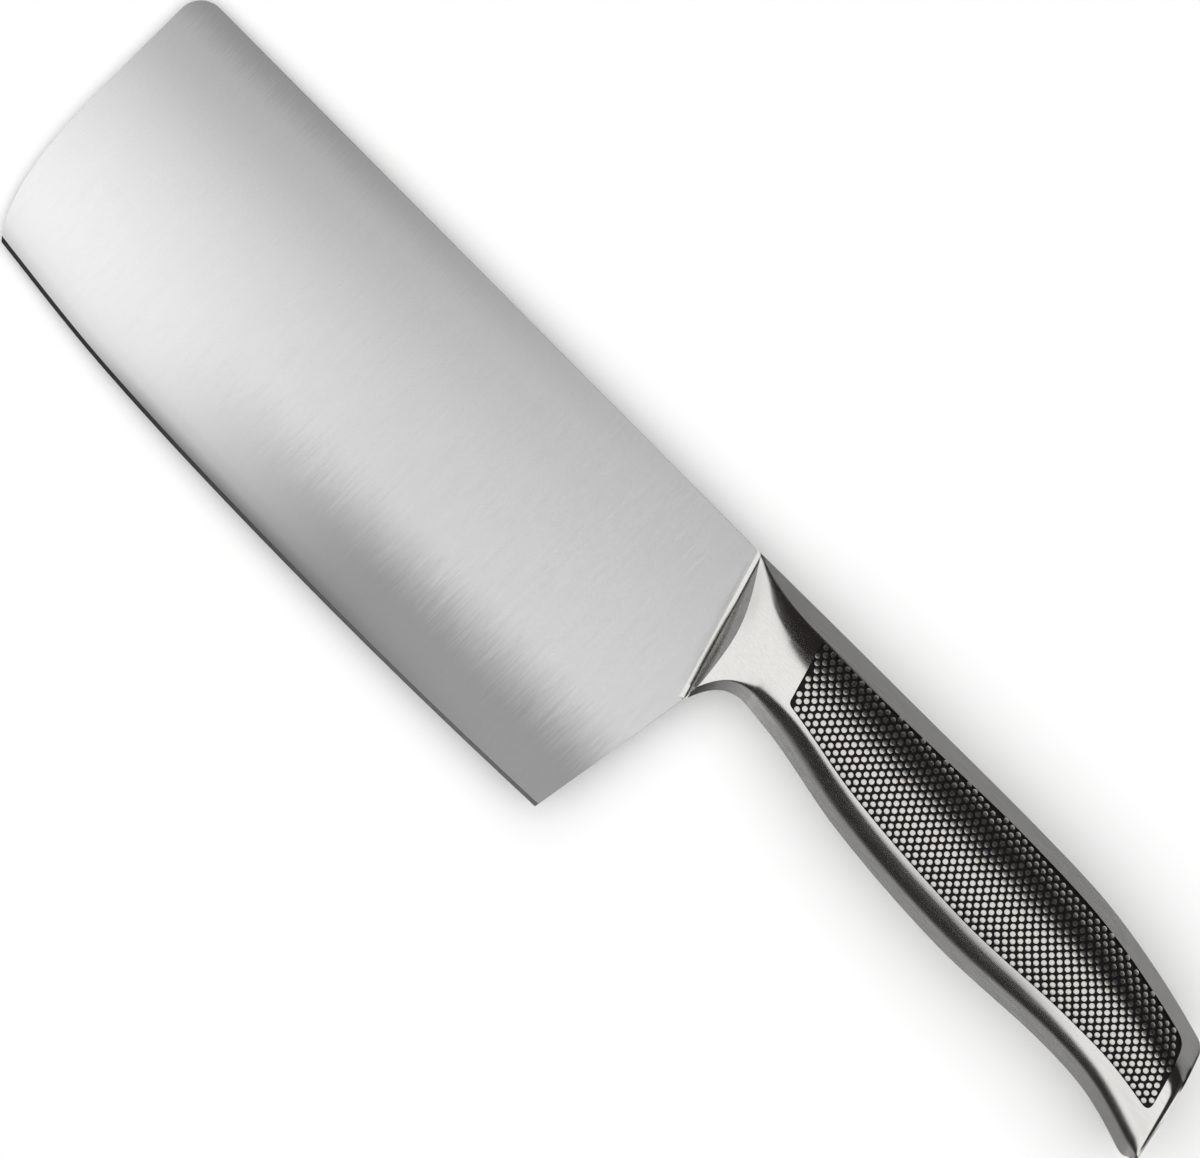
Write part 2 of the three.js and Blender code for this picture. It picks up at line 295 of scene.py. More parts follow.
def arc(centre, radius, start, end, steps):
    """Points of a circular arc, with angles in degrees."""
    turn = [math.radians(start + (end - start) * i / steps) for i in range(steps + 1)]
    return [(centre[0] + radius * math.cos(a), centre[1] + radius * math.sin(a)) for a in turn]


def bezier(controls, steps):
    """Points of the Bezier curve over a few control points."""
    degree = len(controls) - 1
    made = []
    for i in range(steps + 1):
        t = i / steps
        weights = [math.comb(degree, k) * t**k * (1 - t) ** (degree - k) for k in range(degree + 1)]
        made.append(tuple(sum(w * p[k] for w, p in zip(weights, controls)) for k in (0, 1)))
    return made


def blade_outline():
    """The plate seen from the side, counter-clockwise from the end of the spine."""
    below = -BELLY_DEPTH - SPARE_BELOW
    tip_x = -BLADE_LENGTH
    front = (tip_x, -FRONT_STRAIGHT)
    lead = (tip_x, -FRONT_STRAIGHT - FRONT_LEAD)
    toe_lead = (toe_x - TOE_LEAD_X, -TOE_DEPTH + TOE_LEAD_Y)
    return [
        (0, 0),
        *arc((tip_x + TIP_RADIUS, -TIP_RADIUS), TIP_RADIUS, 90, 180, TIP_STEPS),
        *bezier((front, lead, toe_lead, (toe_x, -TOE_DEPTH)), FRONT_STEPS),
        (toe_x + SPARE_SETBACK, below),
        (HEEL_X + (below + HEEL_DEPTH) * HEEL_LEAN, below),
        (SLANT * bolster_depth, -bolster_depth),
        (-SLANT * tang_bottom, tang_bottom),
        (TANG_REACH, tang_bottom),
        (TANG_REACH, -TANG_TOP),
        (SLANT * TANG_TOP, -TANG_TOP),
    ]


def inset_outline(points, inset):
    """A counter-clockwise outline moved inwards by the same amount all round."""
    made = []
    for i, p in enumerate(points):
        before = Vector(p) - Vector(points[i - 1])
        after = Vector(points[(i + 1) % len(points)]) - Vector(p)
        normals = [Vector((-e.y, e.x)).normalized() for e in (before, after)]
        mean = normals[0] + normals[1]
        step = mean * (2 * inset / mean.length_squared)
        made.append((p[0] + step.x, p[1] + step.y))
    return made


def blade_plate():
    """The chamfers go on past the plate's thickness, where the grind crops them."""
    outline = blade_outline()
    full = SPINE_THICKNESS / 2 - SPINE_CHAMFER
    cut_off = 2 * SPINE_CHAMFER
    small = inset_outline(outline, cut_off)
    levels = ((small, -full - cut_off), (outline, -full), (outline, full), (small, full + cut_off))
    return loft("blade_plate", [[(x, y, z) for x, y in ring] for ring, z in levels])


blade = blade_plate()
print("blade outline", len(blade_outline()), "points")

# %% [markdown]
# A grinder thins the lower half of the plate towards the edge, and a last narrow bevel makes it
# sharp. Here the thickness is a long slab with that profile, and what plate and slab have in common
# is the blade, so one Boolean does the work of the grindstone. Two attributes remember where the
# bevel is, for the painted shade at the edge that comes later.

# %% Blade grind
BEVEL_WIDTH = 0.9
BEVEL_THICKNESS = 0.85
EDGE_THICKNESS = 0.04
GRIND_HEIGHT = 44
GRIND_STEPS = 16
SLAB_STEPS = 90
SLAB_PAST_TANG = 5
SLAB_TOP = 10
NEARNESS_FADE = 2.4
BLADE_CREASE = 7
slab_start = edge_at(-0.06)
edge_end = edge_at(1.1)


def ground_slab():
    """The thickness of the blade at every place, carried on past its outline."""
    rings = []
    for i in range(SLAB_STEPS + 1):
        x = slab_start + i / SLAB_STEPS * (TANG_REACH + SLAB_PAST_TANG - slab_start)
        edge = edge_line(min(x, edge_end))
        half = [(edge, EDGE_THICKNESS / 2)]
        for k in range(GRIND_STEPS + 1):
            share = k / GRIND_STEPS
            thinned = (SPINE_THICKNESS - BEVEL_THICKNESS) * (1 - share) ** 2
            height = BEVEL_WIDTH + share * (GRIND_HEIGHT - BEVEL_WIDTH)
            half.append((edge + height, (SPINE_THICKNESS - thinned) / 2))
        half.append((SLAB_TOP, SPINE_THICKNESS / 2))
        ring = half[::-1] + [(y, -z) for y, z in half]
        rings.append([(x, y, z) for y, z in ring])
    return loft("ground slab", rings)


def mark_edge(piece):
    """Attributes: 1 on the faces of the cutting bevel, and a fading nearness to it above."""
    bevel = piece.data.attributes.new("bevel", "FLOAT", "FACE")
    nearness = piece.data.attributes.new("nearness", "FLOAT", "POINT")

    def above_bevel(point):
        spot = (point - DRAWING_ORIGIN) * 1000
        return spot.y - edge_line(spot.x) - BEVEL_WIDTH

    for face in piece.data.polygons:
        bevel.data[face.index].value = float(above_bevel(face.center) < 0)
    for vertex in piece.data.vertices:
        height = max(0, above_bevel(vertex.co))
        nearness.data[vertex.index].value = math.exp(-height / NEARNESS_FADE)


cut(blade, ground_slab(), "INTERSECT")
mark_edge(blade)
smooth_below(blade, BLADE_CREASE)

# %% [markdown]
# The end of the handle isn't simply sawn off: its top corner is round, its sides draw in below
# that corner, the beak's lower corner is cut off, and the butt leans forward a little at the beak.
# Each of these is a small rule that changes the sections near the end. A sculpted mesh could look
# the same, but a rule also holds for the hollow inside.

# %% Butt and beak
FACET_SLOPE = 0.77
BUTT_TURN = 2.6
BUTT_CORNER = 2
BEAK_CHAMFER = 5.8
BEAK_TURN_SHARE = 0.45
BEAK_PULL = 1.5
GRIP_END_MARGIN = 4.4
butt_reach = smooth_line([(0, 2), (4, 3), (8, 3.2), (13, 2.9), (18, 2.3), (24, 1.4), (28, 0.8)])
butt_slope = smooth_line([(0, 0), (5, 0.04), (8, 0.3), (10, 0.47), (14, 0.7), (18, 0.85), (24, 0.9)])


def soft_start(past, turn, slope):
    """A drop that begins gently and then goes on at one slope."""
    past = max(0, past)
    return slope * (past**2 / (2 * turn) if past < turn else past - turn / 2)


def butt_drop(station, y, inset):
    """How far the side has drawn in near the butt, from nothing at the top corner."""
    below = -BUTT_DROP - y
    reach = butt_reach(below)
    past = station - HANDLE_LENGTH + inset + reach
    return soft_start(past, min(reach, BUTT_TURN), butt_slope(below))


def butt_corner(station, inset):
    """The round corner where the top meets the butt."""
    past = max(0, station - HANDLE_LENGTH + inset + BUTT_CORNER)
    return BUTT_CORNER - math.sqrt(max(0, BUTT_CORNER**2 - past**2))


def beak_chamfer(station, inset):
    """The cut corner where the underside meets the butt."""
    past = station - HANDLE_LENGTH + inset + BEAK_CHAMFER
    return soft_start(past, BEAK_TURN_SHARE * BEAK_CHAMFER, FACET_SLOPE)


def beak_pull(station, y):
    """How far the butt leans forward of the slant, most at the beak."""
    behind = max(0, station - HANDLE_LENGTH + GRIP_END_MARGIN) / GRIP_END_MARGIN
    below = max(0, -y - BUTT_DROP) / (BEAK_DEPTH - BUTT_DROP)
    return BEAK_PULL * behind * below


print("beak cut back", round(beak_chamfer(HANDLE_LENGTH, 0), 2), "mm at the butt")

# %% [markdown]
# A section of the handle has a narrow flat strip along the top and the bottom, a facet beside
# each, and a crowned side between. Steel shows every unevenness, so each size of the section is a
# smooth line over the stations. The same rule, with an inset, makes the bolster, the shells, the
# hollow inside them and every surface that lies a little below.


# %% Handle section
def along_handle(points, at_butt):
    """A smooth line over the stations of the handle, with its value at the butt."""
    return smooth_line([*points, (HANDLE_LENGTH, at_butt)])


# Half width of the flat strip, and the depths of the facets
strip_line = along_handle(
    [(0, SPINE_THICKNESS / 2), (3, 1.6), (6, 2.1), (14, 3.1), (30, 4), (70, 4.1)], 3.7
)
top_facet = along_handle(
    [(0, 0.3), (3.8, 1.9), (7.6, 3.1), (12, 4), (20, 4.6), (60, 5.7), (100, 7)], 7.2
)
bottom_facet = along_handle(
    [(0, 2.2), (3, 2.25), (8, 2.6), (14, 3.3), (40, 3.4), (95, 3.5), (118, 3.8)], 3.9
)
# How steeply the side leaves the upper facet and comes down to the lower one
upper_slope = along_handle(
    [(0, 0.12), (3, 0.14), (8, 0.22), (14, 0.24), (20, 0.3), (40, 0.5)], 0.55
)
lower_slope = along_handle(
    [(0, 0.12), (3, 0.16), (8, 0.26), (14, 0.5), (22, 0.6), (40, 0.54), (95, 0.48), (116, 0.36)],
    0.26,
)
# How softly the upper facet flares into the side, and the side breaks to the lower facet
flare_start = along_handle([(0, 0.25), (8, 0.2), (14, 0.2), (22, 0.25), (40, 0.35)], 0.35)
flare_reach = along_handle(
    [(0, 0.04), (4, 0.09), (9, 0.18), (14, 0.21), (22, 0.19), (40, 0.08)], 0.06
)
crease_softness = along_handle(
    [(0, 0.08), (7, 0.1), (22, 0.34), (60, 0.34), (100, 0.3), (120, 0.36)], 0.38
)
LOWER_STEEPNESS = 1.07
CREASE_REACH = 0.36
STRIP_INSET = 0.47
CROWN_INSET = 0.37
CROWN_STEPS = 30
CORNER_STEPS = 16


def lean(line, station):
    """What keeps a facet beside a rising line, by its rise in 1 mm, as steep as beside a level one."""
    rise = line(station + 0.5) - line(station - 0.5)
    return 1 / math.hypot(1 - SLANT * rise, rise)


def soft_corner(a, b, c, reach_a, reach_c, steps):
    """A round in place of the corner b, over a share of the way to a and to c."""
    first = [b[k] + (a[k] - b[k]) * reach_a for k in (0, 1)]
    last = [b[k] + (c[k] - b[k]) * reach_c for k in (0, 1)]
    return bezier((first, b, last), steps)


def half_section(station, inset):
    """Left half of a section, top to bottom, as (y, z)."""
    top = top_line(station) - inset
    bottom = bottom_line(station) + inset
    strip = strip_line(station) - STRIP_INSET * inset
    top_fall = FACET_SLOPE * lean(top_line, station)
    bottom_fall = LOWER_STEEPNESS * FACET_SLOPE * lean(bottom_line, station)
    upper = (top - top_facet(station), strip + top_fall * top_facet(station))
    lower = (bottom + bottom_facet(station), strip + bottom_fall * bottom_facet(station))
    depth = upper[0] - lower[0]
    leave = upper_slope(station) * depth
    arrive = -lower_slope(station) * depth

    def side(t):
        sunk = CROWN_INSET * inset * (1 - (2 * t - 1) ** 2)
        return (upper[0] - depth * t, cubic(upper[1], lower[1], leave, arrive, t) - sunk)

    soft = crease_softness(station)
    corner = butt_corner(station, inset)
    chamfer = beak_chamfer(station, inset)
    top_edge = (top - corner, strip + top_fall * corner)
    bottom_edge = (bottom + chamfer, strip + bottom_fall * chamfer)
    first = flare_reach(station)
    last = 1 - CREASE_REACH * soft
    crowned = [side(first + (last - first) * i / CROWN_STEPS) for i in range(CROWN_STEPS + 1)]
    points = [top_edge]
    points += soft_corner(top_edge, upper, crowned[0], flare_start(station), 1, CORNER_STEPS)
    points += crowned[1:-1]
    points += soft_corner(crowned[-1], lower, bottom_edge, 1, soft, CORNER_STEPS)
    points.append(bottom_edge)
    return [(y, z - butt_drop(station, y, inset)) for y, z in points]


print("section points", len(half_section(60, 0)))

# %% [markdown]
# The sections are strung along the handle into a loft, close together because the steel mirrors
# a room and a coarse skin would show. They crowd where the beak turns.

# %% Handle loft
LOFT_STEP = 0.6
FEWEST_STEPS = 6
BEAK_RINGS = 14


def handle_loft(name, start, end, inset, low_z=None):
    """The handle between two stations, whole, or only its left half above low_z."""
    steps = max(FEWEST_STEPS, round((end - start) / LOFT_STEP))
    stations = [start + (end - start) * i / steps for i in range(steps)]
    turn = HANDLE_LENGTH - inset - BEAK_CHAMFER
    stations = [s for s in stations if s < turn]
    if end > turn:
        crowded = [1 - (1 - i / BEAK_RINGS) ** 2 for i in range(BEAK_RINGS)]
        stations += [turn + (end - turn) * share for share in crowded]
    rings = []
    for s in [*stations, end]:
        half = half_section(s, inset)
        if low_z is None:
            ring = half + [(y, -z) for y, z in reversed(half)]
        else:
            ring = half + [(half[-1][0], low_z), (half[0][0], low_z)]
        rings.append([(s - SLANT * y - beak_pull(s, y), y, z) for y, z in ring])
    return loft(name, rings)


print("rings on a whole handle, about", round(HANDLE_LENGTH / LOFT_STEP))

# %% [markdown]
# The bolster carries the blade to the handle. Its front is a sloping face that ends in a sharp
# crease, and a small hollow weld runs from that face out onto the blade. Both come from one
# cutting tool with a curved foot, used on each side. A spigot at its back holds the shells, and
# a slot takes the tang.

# %% Bolster
WALL = 1.4
BOLSTER_LENGTH = 14
SPIGOT_LENGTH = 8
SPIGOT_ROOT = 3
SPIGOT_FIT = 0.2
TANG_FIT = 0.15
SLOT_START = 0.5
FACE_RISE = 0.79
FACE_START = 0.3
FACE_TURN = 0.3
WELD_REACH = 1.4
WELD_RISE = 0.06
WELD_POWER = 1.6
WELD_STEPS = 14
WELD_SINK = 0.02
TOOL_SPARE = 0.5
TOOL_SINK = 0.2
TOOL_HEIGHT = 30
TOOL_TOP = 20
TOOL_BOTTOM = -60
BOLSTER_CREASE = 11


def face_profile():
    """Height of the bolster's front above the middle, by station: weld, then the sloping face."""
    points = [(-WELD_REACH - TOOL_SPARE, SPINE_THICKNESS / 2 - TOOL_SINK)]
    height = SPINE_THICKNESS / 2 - WELD_SINK
    reach = WELD_REACH + FACE_START
    for i in range(WELD_STEPS + 1):
        points.append((-WELD_REACH + reach * i / WELD_STEPS, height))
        steepening = ((i + 0.5) / WELD_STEPS) ** WELD_POWER
        height += (WELD_RISE + (FACE_RISE - WELD_RISE) * steepening) * reach / WELD_STEPS
    start, foot = points[-1]
    ends = (start + FACE_TURN, BOLSTER_LENGTH)
    return points + [(s, foot + FACE_RISE * (s - start)) for s in ends]


def face_tool(side):
    """Cuts the front of the bolster on the left side, 1, or the right side, -1."""
    low = face_profile()
    outline = low + [(BOLSTER_LENGTH, TOOL_HEIGHT), (low[0][0], TOOL_HEIGHT)]
    outline = outline if side > 0 else [(s, -z) for s, z in reversed(outline)]
    rings = []
    for y in (TOOL_TOP, TOOL_BOTTOM):
        rings.append([(s - SLANT * y, y, z) for s, z in outline])
    return loft("face tool", rings)


def tang_tool():
    half = SPINE_THICKNESS / 2 + TANG_FIT
    top = -TANG_TOP + TANG_FIT
    bottom = tang_bottom - TANG_FIT
    outline = [(SLOT_START - SLANT * bottom, bottom), (TANG_REACH, bottom)]
    outline += [(TANG_REACH, top), (SLOT_START - SLANT * top, top)]
    return prism("tang tool", outline, (-half, half))


def make_bolster():
    body = handle_loft("bolster_body", -WELD_REACH - TOOL_SPARE, BOLSTER_LENGTH, 0)
    for side in (1, -1):
        cut(body, face_tool(side))
    root = BOLSTER_LENGTH - SPIGOT_ROOT
    cut(body, handle_loft("spigot", root, BOLSTER_LENGTH + SPIGOT_LENGTH, WALL + SPIGOT_FIT), "UNION")
    cut(body, tang_tool())
    smooth_below(body, BOLSTER_CREASE)
    return body


bolster = make_bolster()

# %% [markdown]
# A Boolean leaves long slivers beside large faces, and smooth shading bends the light at each of
# them. The real bolster is polished, so two things even out its shading: the narrow strips of the
# front face are shaded flat, and the Weighted Normal modifier lets the large faces rule the rest.

# %% Bolster shading
ALONG_FACE_LIMIT = 0.001


def flatten_face(piece):
    """Shades flat what the face tool cut: the faces that run along its slanted length."""
    run = Vector((-SLANT, 1, 0)).normalized()
    front = [p for p in piece.data.polygons if p.normal.x < 0]
    flat = [p for p in front if abs(p.normal.dot(run)) < ALONG_FACE_LIMIT]
    for polygon in flat:
        polygon.use_smooth = False
    print("flat faces on the bolster", len(flat))


def weigh_normals(piece):
    """Lets the large faces rule the shading, so that slivers left by a cut don't show."""
    weighted = piece.modifiers.new("weighted normals", "WEIGHTED_NORMAL")
    weighted.keep_sharp = True
    apply_modifiers(piece)


flatten_face(bolster)
weigh_normals(bolster)

# %% [markdown]
# The grip is a long panel on each side of the handle. Its outline keeps a margin from the top and
# the underside, its ends lean with the sections, and its corners are small rounds.

# %% Grip outline
GRIP_START = 20.3
GRIP_FRONT_CORNER = 1
GRIP_REAR_CORNER = 2.3
FRONT_CORNER_STEPS = 6
REAR_CORNER_STEPS = 8
GRIP_STEPS = 90
PRISM_LOW = 0.5
PRISM_HIGH = 20
grip_top_margin = along_handle([(20, 4.2), (40, 3.9), (60, 3.5), (75, 3.2), (100, 3.3)], 3.4)
grip_bottom_margin = along_handle([(20, 7.2), (60, 7.6), (100, 7.4), (116, 8)], 11)


def grip_outline():
    """The grip panel seen from the side, counter-clockwise."""
    start = GRIP_START
    end = HANDLE_LENGTH - GRIP_END_MARGIN

    def top(s):
        y = top_line(s) - grip_top_margin(s)
        return (s - SLANT * y, y)

    def bottom(s):
        y = bottom_line(s) + grip_bottom_margin(s)
        return (s - SLANT * y, y)

    def down(p, drop):
        return (p[0] + SLANT * drop, p[1] - drop)

    def corner(a, b, c, steps):
        return soft_corner(a, b, c, 1, 1, steps)

    front, rear = GRIP_FRONT_CORNER, GRIP_REAR_CORNER
    length = end - start - front - rear
    run = [start + front + length * i / GRIP_STEPS for i in range(GRIP_STEPS + 1)]
    points = [top(s) for s in reversed(run)]
    points += corner(points[-1], top(start), down(top(start), front), FRONT_CORNER_STEPS)[1:]
    points += corner(down(bottom(start), -front), bottom(start), bottom(run[0]), FRONT_CORNER_STEPS)
    points += [bottom(s) for s in run[1:]]
    points += corner(points[-1], bottom(end), down(bottom(end), -rear), REAR_CORNER_STEPS)[1:]
    points += corner(down(top(end), rear), top(end), top(run[-1]), REAR_CORNER_STEPS)[:-1]
    return points


def grip_prism(name, inset=0):
    return prism(name, inset_outline(grip_outline(), inset), (PRISM_LOW, PRISM_HIGH))


print("grip outline", len(grip_outline()), "points")

# %% [markdown]
# Each shell is half of the hollow handle, pressed from sheet. A shallow pocket for the grip is cut
# into its face: the tool is the grip's outline as a prism, less everything deeper than the pocket's
# floor, so the floor follows the crown of the side. The right shell is the left one mirrored, with
# its faces turned the right way out again.

# %% Shells
POCKET_DEPTH = 0.6
HOLLOW_START = 1
HANDLE_CREASE = 30


def below_surface(name, depth):
    """Everything of the handle that lies deeper than a depth under its surface."""
    return handle_loft(name, BOLSTER_LENGTH, HANDLE_LENGTH - depth, depth)


def mirrored(piece, name):
    """The right-hand twin of a left-hand piece, mirrored about the middle of the thickness."""
    mesh = piece.data.copy()
    for vertex in mesh.vertices:
        vertex.co.z = 2 * DRAWING_ORIGIN.z - vertex.co.z
    mesh.flip_normals()
    return new_object(name, mesh)


def make_shell():
    shell = handle_loft("shell_left", BOLSTER_LENGTH, HANDLE_LENGTH, 0, low_z=0)
    cut(shell, handle_loft("hollow", BOLSTER_LENGTH - HOLLOW_START, HANDLE_LENGTH - WALL, WALL))
    pocket = grip_prism("pocket")
    cut(pocket, below_surface("floor", POCKET_DEPTH))
    cut(shell, pocket)
    smooth_below(shell, HANDLE_CREASE)
    return shell


shell_left = make_shell()
shell_right = mirrored(shell_left, "shell_right")
for shell in (shell_left, shell_right):
    weigh_normals(shell)

# %% [markdown]
# Black enamel covers the floor of each pocket. It is a thin slice of the handle, cropped to the
# grip's outline, so its face follows the crown of the side.

# %% Grip enamel
ENAMEL_DEPTH = 0.42


def make_enamel(name, inset=0):
    enamel = grip_prism(name, inset)
    cut(enamel, below_surface("outside", ENAMEL_DEPTH), "INTERSECT")
    cut(enamel, below_surface("under", POCKET_DEPTH))
    smooth_below(enamel, HANDLE_CREASE)
    return enamel


enamel_left = make_enamel("enamel_left")
enamel_right = mirrored(enamel_left, "enamel_right")

# %% [markdown]
# The grip is rough with hundreds of small steel pips. Each is a low dome with a flat top and a
# steep side, whose foot is sunk in the enamel. It is repeated so often that it has only a few dozen
# faces.

# %% Pip dome
PIP_RADIUS = 0.6
PIP_HEIGHT = 0.36
PIP_SIDES = 12
PIP_CREASE = 40
PIP_PROFILE = ((1, -0.7), (1, 0.88), (0.8, 0.95), (0.45, 0.99))


def turned_points(profile, sides):
    """Rings of points about the z axis, one for each (radius, height) of a profile."""
    turns = [math.tau * i / sides for i in range(sides)]
    return [(r * math.cos(a), r * math.sin(a), height) for r, height in profile for a in turns]


def make_dome():
    """One pip, in metres, standing on the origin."""
    profile = [(r * PIP_RADIUS / 1000, z * PIP_HEIGHT / 1000) for r, z in PIP_PROFILE]
    points = turned_points(profile, PIP_SIDES)
    apex = len(points)
    rim = apex - PIP_SIDES
    faces = skin(len(profile), PIP_SIDES)
    faces += [(rim + i, rim + (i + 1) % PIP_SIDES, apex) for i in range(PIP_SIDES)]
    dome = mesh_object("pip dome", [*points, (0, 0, PIP_HEIGHT / 1000)], faces)
    dome.data.shade_smooth()
    dome.data.set_sharp_from_angle(angle=math.radians(PIP_CREASE))
    return dome


pip_dome = make_dome()
print("faces of a pip", len(pip_dome.data.polygons))

# %% [markdown]
# The pips stand in rows that cross the grip at an angle, each row from a point on the lower edge.
# A guide curve holds the first place of every row: it walks along that edge, and on past both of
# its ends, and marks a place each time that it has gone one row further across. A landing, which is
# the enamel less a margin, says where a pip may stand.

# %% Pip guide
PIP_ROW = 1.535
PIP_TURN = 47.4
PIP_MARGIN = 0.5
GUIDE_LEAD = 30
GUIDE_STEP = 0.05
GUIDE_STEPS = 3200
row_way = Vector((math.cos(math.radians(PIP_TURN)), math.sin(math.radians(PIP_TURN))))
across_way = Vector((row_way.y, -row_way.x))


def make_guide():
    """The first place of every row, on the lower edge of the grip and its line carried on."""
    starts = []
    for s in [GRIP_START - GUIDE_LEAD + GUIDE_STEP * i for i in range(GUIDE_STEPS)]:
        y = bottom_line(max(GRIP_START, s)) + grip_bottom_margin(s)
        spot = Vector((s - SLANT * y, y))
        if not starts or (spot - starts[-1]).dot(across_way) >= PIP_ROW:
            starts.append(spot)
    data = bpy.data.curves.new("pip guide", "CURVE")
    data.dimensions = "3D"
    spline = data.splines.new("POLY")
    spline.points.add(len(starts) - 1)
    for point, spot in zip(spline.points, starts):
        point.co = (*place(spot.x, spot.y, 0), 1)
    return new_object("pip guide", data)


landing_left = make_enamel("landing_left", PIP_MARGIN)
landing_right = mirrored(landing_left, "landing_right")
pip_guide = make_guide()
print("pip guide points", len(pip_guide.data.splines[0].points))

# %% [markdown]
# Node trees take many small steps, so a few helpers come first: one fills a socket, with a link or
# with a plain value, one adds a node and fills its inputs, and two add sums. The trees of the pips,
# the finishes and the room all use them.


# %% Node helpers
def feed(socket, value):
    """Links an output to an input socket, or writes a plain value into it."""
    if isinstance(value, bpy.types.NodeSocket):
        socket.id_data.links.new(value, socket)
    else:
        socket.default_value = value


def add_node(tree, kind, inputs=None, **settings):
    """A new node, with its settings and then its inputs by name or number."""
    made = tree.nodes.new(kind)
    for key, value in settings.items():
        setattr(made, key, value)
    for key, value in (inputs or {}).items():
        feed(made.inputs[key], value)
    return made


def calc(tree, operation, a, b):
    """The output of a sum over two outputs or numbers."""
    return add_node(tree, "ShaderNodeMath", {0: a, 1: b}, operation=operation).outputs[0]


def vector_sum(tree, a, b):
    return add_node(tree, "ShaderNodeVectorMath", {0: a, 1: b}, operation="ADD").outputs[0]


print("node helpers ready")

# %% [markdown]
# Copying a dome by hand onto a crowned face would be slow, and an array would leave the surface.
# Geometry Nodes suits this: the tree makes a point for every pip of every row, drops it onto the
# landing with a ray, and stands a dome on each that lands. A dome stands square on the face, but
# turned a little towards the side that a press would come from.

# %% Pip tree
PIP_PITCH = 1.6
PIP_COUNT = 30
PIP_SETTLE = 0.1
FIRST_PIP = 0.6
RAY_HEIGHT = 0.05
PIP_INPUTS = (
    ("Landing", "NodeSocketObject", None),
    ("Guide", "NodeSocketObject", None),
    ("Dome", "NodeSocketObject", None),
    ("Steel", "NodeSocketMaterial", None),
    ("Side", "NodeSocketFloat", 1.0),
    ("Row Way", "NodeSocketVector", (*row_way, 0)),
    ("Pitch", "NodeSocketFloat", PIP_PITCH / 1000),
    ("Pips in Row", "NodeSocketInt", PIP_COUNT),
    ("Settle", "NodeSocketFloat", PIP_SETTLE),
)


def object_shape(tree, source, space):
    """The geometry of an object that is an input of the tree."""
    made = add_node(tree, "GeometryNodeObjectInfo", {"Object": source}, transform_space=space)
    return made.outputs["Geometry"]


def upward(tree, height):
    """A vector along z."""
    return add_node(tree, "ShaderNodeCombineXYZ", {"Z": height}).outputs[0]


def pip_starts(tree, given):
    """A loose point for every pip, and the place beside the grip from where it is dropped."""
    guide = object_shape(tree, given["Guide"], "RELATIVE")
    rows = add_node(tree, "GeometryNodeAttributeDomainSize", {0: guide}, component="CURVE")
    in_row = given["Pips in Row"]
    count = calc(tree, "MULTIPLY", rows.outputs["Point Count"], in_row)
    points = add_node(tree, "GeometryNodePoints", {"Count": count}).outputs[0]
    index = add_node(tree, "GeometryNodeInputIndex").outputs[0]
    first = add_node(
        tree,
        "GeometryNodeSampleIndex",
        {
            "Geometry": guide,
            "Value": add_node(tree, "GeometryNodeInputPosition").outputs[0],
            "Index": calc(tree, "FLOOR", calc(tree, "DIVIDE", index, in_row), 0),
        },
        data_type="FLOAT_VECTOR",
        domain="POINT",
    )
    number = calc(tree, "ADD", calc(tree, "MODULO", index, in_row), FIRST_PIP)
    along = calc(tree, "MULTIPLY", number, given["Pitch"])
    way = {0: given["Row Way"], "Scale": along}
    step = add_node(tree, "ShaderNodeVectorMath", way, operation="SCALE")
    lift = upward(tree, calc(tree, "MULTIPLY", given["Side"], RAY_HEIGHT))
    beside = vector_sum(tree, first.outputs[0], step.outputs[0])
    return points, vector_sum(tree, beside, lift)


def store(tree, points, name, value, kind):
    """Keeps a value on each point under a name, because moving the points would change it."""
    inputs = {"Geometry": points, "Name": name, "Value": value}
    settings = {"data_type": kind, "domain": "POINT"}
    return add_node(tree, "GeometryNodeStoreNamedAttribute", inputs, **settings).outputs[0]


def kept(tree, name, kind):
    made = add_node(tree, "GeometryNodeInputNamedAttribute", {"Name": name}, data_type=kind)
    return made.outputs["Attribute"]


def dropped_pips(tree, given, points, start):
    """The points on the landing, each with the turn of its pip and whether it landed at all."""
    ray = add_node(
        tree,
        "GeometryNodeRaycast",
        {
            "Target Geometry": object_shape(tree, given["Landing"], "RELATIVE"),
            "Source Position": start,
            "Ray Direction": upward(tree, calc(tree, "MULTIPLY", given["Side"], -1)),
        },
    )
    outward = upward(tree, calc(tree, "MULTIPLY", given["Side"], given["Settle"]))
    stand = vector_sum(tree, ray.outputs["Hit Normal"], outward)
    upright = add_node(tree, "FunctionNodeAlignRotationToVector", {"Vector": stand}, axis="Z")
    points = store(tree, points, "upright", upright.outputs[0], "QUATERNION")
    points = store(tree, points, "landed", ray.outputs["Is Hit"], "BOOLEAN")
    inputs = {"Geometry": points, "Position": ray.outputs["Hit Position"]}
    return add_node(tree, "GeometryNodeSetPosition", inputs).outputs[0]


